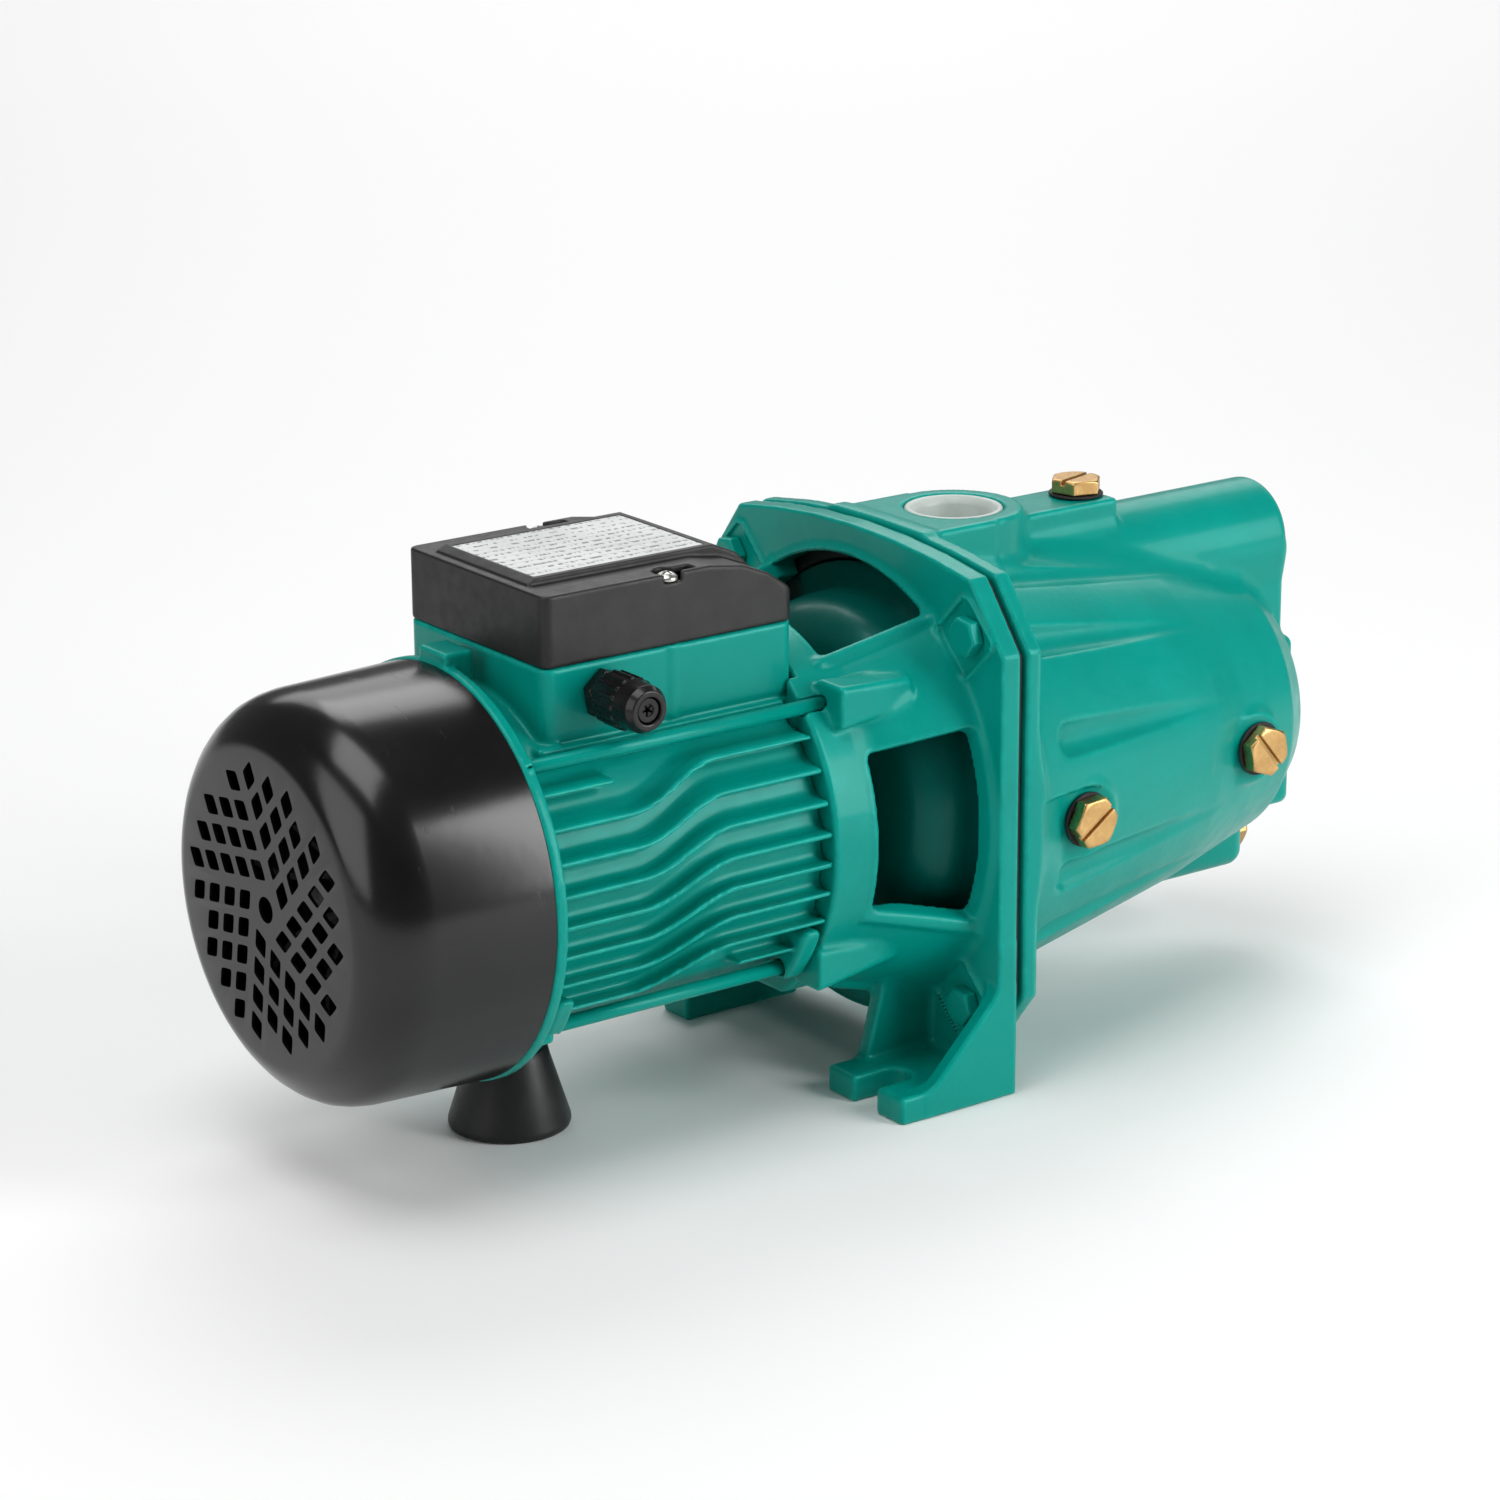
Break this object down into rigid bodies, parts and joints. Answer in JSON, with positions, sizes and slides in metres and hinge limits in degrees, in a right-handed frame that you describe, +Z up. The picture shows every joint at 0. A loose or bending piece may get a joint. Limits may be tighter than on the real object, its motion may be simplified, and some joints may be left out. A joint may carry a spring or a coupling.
{
  "type": "centrifugal water pump",
  "caption": "Self-priming centrifugal pump with a finned fan-cooled motor, an open lantern bracket on slotted feet, and a conical pump casing with a top outlet.",
  "frame": {"origin": "middle of the pump's base: centre of its length and width, on the surface it stands on", "axes": "+X along the shaft from the motor to the suction port, +Z up, -Y the side with the cable gland and side plugs"},
  "size_m": [0.45, 0.1774, 0.209],
  "materials": {
    "cast_iron_paint": "glossy blue-green enamel over a cast skin",
    "aluminium_paint": "glossy blue-green enamel over a die-cast skin",
    "steel_paint": "glossy blue-green enamel",
    "black_sheet": "glossy black enamel",
    "black_plastic": "fine matt texture",
    "black_rubber": "matt",
    "brass": "turned, slightly dull",
    "steel": "machined",
    "laminate": "stacked sheet, dull",
    "copper": "lacquered copper wire",
    "white_plastic": "slightly milky",
    "ceramic": "lapped",
    "label_foil": "printed foil"
  },
  "bodies": {
    "pump": {"fan_cover": "black_sheet", "rear_endshield": "aluminium_paint", "motor_housing": "aluminium_paint", "tie_rod_upper_near": "steel_paint", "tie_rod_upper_far": "steel_paint", "tie_rod_lower_near": "steel_paint", "tie_rod_lower_far": "steel_paint", "stator_core": "laminate", "winding_rear": "copper", "winding_front": "copper", "lantern_bracket": "cast_iron_paint", "pump_casing": "cast_iron_paint", "seal_plate": "cast_iron_paint", "flange_bolt_upper_near": "steel_paint", "flange_bolt_upper_far": "steel_paint", "flange_bolt_lower_near": "steel_paint", "flange_bolt_lower_far": "steel_paint", "terminal_lid": "black_plastic", "gland_body": "black_plastic", "gland_locknut": "black_plastic", "gland_nut": "black_plastic", "terminal_block": "black_plastic", "rubber_foot": "black_rubber", "flange_gasket": "black_rubber", "gland_seal": "black_rubber", "ejector_nozzle": "brass", "foot_screw": "steel", "lid_screw_near": "steel", "lid_screw_far": "steel", "rear_bearing_outer_ring": "steel", "front_bearing_outer_ring": "steel", "run_capacitor": "white_plastic", "diffuser": "white_plastic", "venturi_tube": "white_plastic", "seal_seat": "ceramic", "rating_label": "label_foil"},
    "rotor": {"shaft": "steel", "rotor_core": "laminate", "cooling_fan": "black_plastic", "fan_clip": "steel", "rear_bearing_inner_ring": "steel", "front_bearing_inner_ring": "steel", "slinger_ring": "black_rubber", "seal_rotor": "black_rubber", "impeller": "brass", "impeller_key": "steel", "impeller_nut": "brass"},
    "rear_cage": {"rear_bearing_ball_cage": "steel"},
    "front_cage": {"front_bearing_ball_cage": "steel"},
    "priming_seal": {"priming_washer": "black_rubber"},
    "priming_screw": {"priming_plug": "brass"},
    "side_rear_seal": {"side_rear_washer": "black_rubber"},
    "side_rear_screw": {"side_rear_plug": "brass"},
    "side_front_seal": {"side_front_washer": "black_rubber"},
    "side_front_screw": {"side_front_plug": "brass"},
    "drain_seal": {"drain_washer": "black_rubber"},
    "drain_screw": {"drain_plug": "brass"},
    "discharge_cap": {"discharge_cap": "white_plastic"},
    "suction_cap": {"suction_cap": "white_plastic"}
  },
  "joints": [
    {"name": "rotor_spin", "type": "hinge", "parent": "pump", "child": "rotor", "pos_m": [-0.096, 0, 0.1015], "axis": [1, 0, 0], "continuous": true},
    {"name": "rear_cage_spin", "type": "hinge", "parent": "pump", "child": "rear_cage", "pos_m": [-0.159, 0, 0.1015], "axis": [1, 0, 0], "continuous": true},
    {"name": "front_cage_spin", "type": "hinge", "parent": "pump", "child": "front_cage", "pos_m": [-0.029, 0, 0.1015], "axis": [1, 0, 0], "continuous": true},
    {"name": "priming_plug_rise", "type": "slide", "parent": "pump", "child": "priming_seal", "axis": [0, 0, 1], "range_m": [0, 0.01204]},
    {"name": "priming_plug_turn", "type": "hinge", "parent": "priming_seal", "child": "priming_screw", "pos_m": [0.134, 0, 0.192], "axis": [0, 0, 1], "range_deg": [0, 3240]},
    {"name": "side_rear_plug_rise", "type": "slide", "parent": "pump", "child": "side_rear_seal", "axis": [0, -1, 0], "range_m": [0, 0.01204]},
    {"name": "side_rear_plug_turn", "type": "hinge", "parent": "side_rear_seal", "child": "side_rear_screw", "pos_m": [0.072, -0.0813, 0.0963], "axis": [0, -1, 0], "range_deg": [0, 3240]},
    {"name": "side_front_plug_rise", "type": "slide", "parent": "pump", "child": "side_front_seal", "axis": [0, -1, 0], "range_m": [0, 0.01204]},
    {"name": "side_front_plug_turn", "type": "hinge", "parent": "side_front_seal", "child": "side_front_screw", "pos_m": [0.1718, -0.0644, 0.1002], "axis": [0, -1, 0], "range_deg": [0, 3240]},
    {"name": "drain_plug_rise", "type": "slide", "parent": "pump", "child": "drain_seal", "axis": [1, 0, 0], "range_m": [0, 0.01204]},
    {"name": "drain_plug_turn", "type": "hinge", "parent": "drain_seal", "child": "drain_screw", "pos_m": [0.212, 0, 0.0435], "axis": [1, 0, 0], "range_deg": [0, 3240]},
    {"name": "discharge_cap_pull", "type": "slide", "parent": "pump", "child": "discharge_cap", "axis": [0, 0, 1], "range_m": [0, 0.02]},
    {"name": "suction_cap_pull", "type": "slide", "parent": "pump", "child": "suction_cap", "axis": [1, 0, 0], "range_m": [0, 0.02]}
  ],
  "couplings": [
    {"joint": "rear_cage_spin", "follows": "rotor_spin", "ratio": 0.38},
    {"joint": "front_cage_spin", "follows": "rotor_spin", "ratio": 0.38},
    {"joint": "priming_plug_rise", "follows": "priming_plug_turn", "m_per_rad": 0.00021279},
    {"joint": "side_rear_plug_rise", "follows": "side_rear_plug_turn", "m_per_rad": 0.00021279},
    {"joint": "side_front_plug_rise", "follows": "side_front_plug_turn", "m_per_rad": 0.00021279},
    {"joint": "drain_plug_rise", "follows": "drain_plug_turn", "m_per_rad": 0.00021279}
  ]
}
